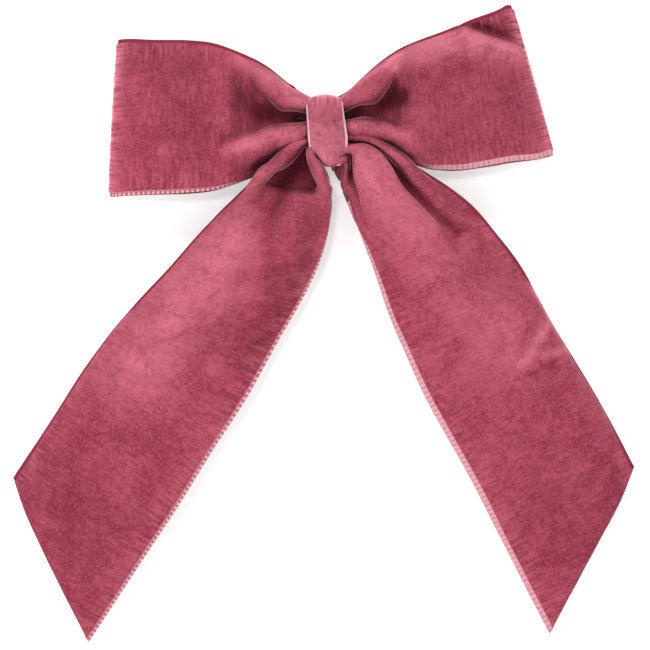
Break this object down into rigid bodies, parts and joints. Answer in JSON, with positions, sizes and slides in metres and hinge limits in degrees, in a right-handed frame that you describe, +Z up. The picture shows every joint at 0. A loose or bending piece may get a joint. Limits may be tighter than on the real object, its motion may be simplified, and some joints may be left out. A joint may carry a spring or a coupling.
{
  "type": "ribbon bow barrette",
  "caption": "Velvet ribbon bow with long slanted tails on a sprung hair clip that swings open and latches shut.",
  "frame": {"origin": "middle of the hair clamp, between the clip plate and the arm", "axes": "+X along the clip towards its latch, +Y from the bow towards the head, +Z up when worn"},
  "size_m": [0.2003, 0.0265, 0.2071],
  "materials": {
    "velvet_ribbon": "dusty rose cotton-rayon velvet, dense short nap, matt with a soft sheen",
    "ribbon_back": "dull woven reverse side of the velvet ribbon",
    "sewing_thread": "twisted polyester thread",
    "felt": "pressed felt",
    "hot_glue": "cloudy, smooth and slightly waxy",
    "plated_steel": "nickel plated stamped sheet with fine rubbing marks",
    "spring_steel": "nickel plated spring strip"
  },
  "bodies": {
    "bow_and_plate": {"loop_ribbon": "velvet_ribbon", "tail_ribbon": "velvet_ribbon", "knot_wrap": "velvet_ribbon", "knot_wrap_end": "ribbon_back", "loop_thread": "sewing_thread", "tail_thread": "sewing_thread", "felt_pad": "felt", "glue_strip_left": "hot_glue", "glue_strip_right": "hot_glue", "clip_plate": "plated_steel", "hinge_pin": "plated_steel", "spring_rivet": "plated_steel", "latch_saddle": "spring_steel", "latch_rivet_inner": "plated_steel", "latch_rivet_outer": "plated_steel"},
    "arm": {"clip_arm": "plated_steel"},
    "spring": {"tension_spring": "spring_steel"},
    "prong_upper": {"latch_prong_upper": "spring_steel"},
    "prong_lower": {"latch_prong_lower": "spring_steel"}
  },
  "joints": [
    {"name": "arm_swing", "type": "hinge", "parent": "bow_and_plate", "child": "arm", "pos_m": [-0.0376, 0.00667, 0], "axis": [0, 0, 1], "range_deg": [0, 85]},
    {"name": "spring_press", "type": "hinge", "parent": "bow_and_plate", "child": "spring", "pos_m": [-0.031, 0.0023, 0], "axis": [0, 0, -1], "range_deg": [0, 2.2], "stiffness_Nm_per_rad": 0.2},
    {"name": "prong_upper_squeeze", "type": "hinge", "parent": "bow_and_plate", "child": "prong_upper", "pos_m": [0.0362, 0.0032, 0.00235], "axis": [-1, 0, 0], "range_deg": [0, 15], "stiffness_Nm_per_rad": 0.005},
    {"name": "prong_lower_squeeze", "type": "hinge", "parent": "bow_and_plate", "child": "prong_lower", "pos_m": [0.0362, 0.0032, -0.00235], "axis": [1, 0, 0], "range_deg": [0, 15], "stiffness_Nm_per_rad": 0.005}
  ],
  "couplings": [
    {"joint": "prong_lower_squeeze", "follows": "prong_upper_squeeze", "ratio": 1}
  ]
}
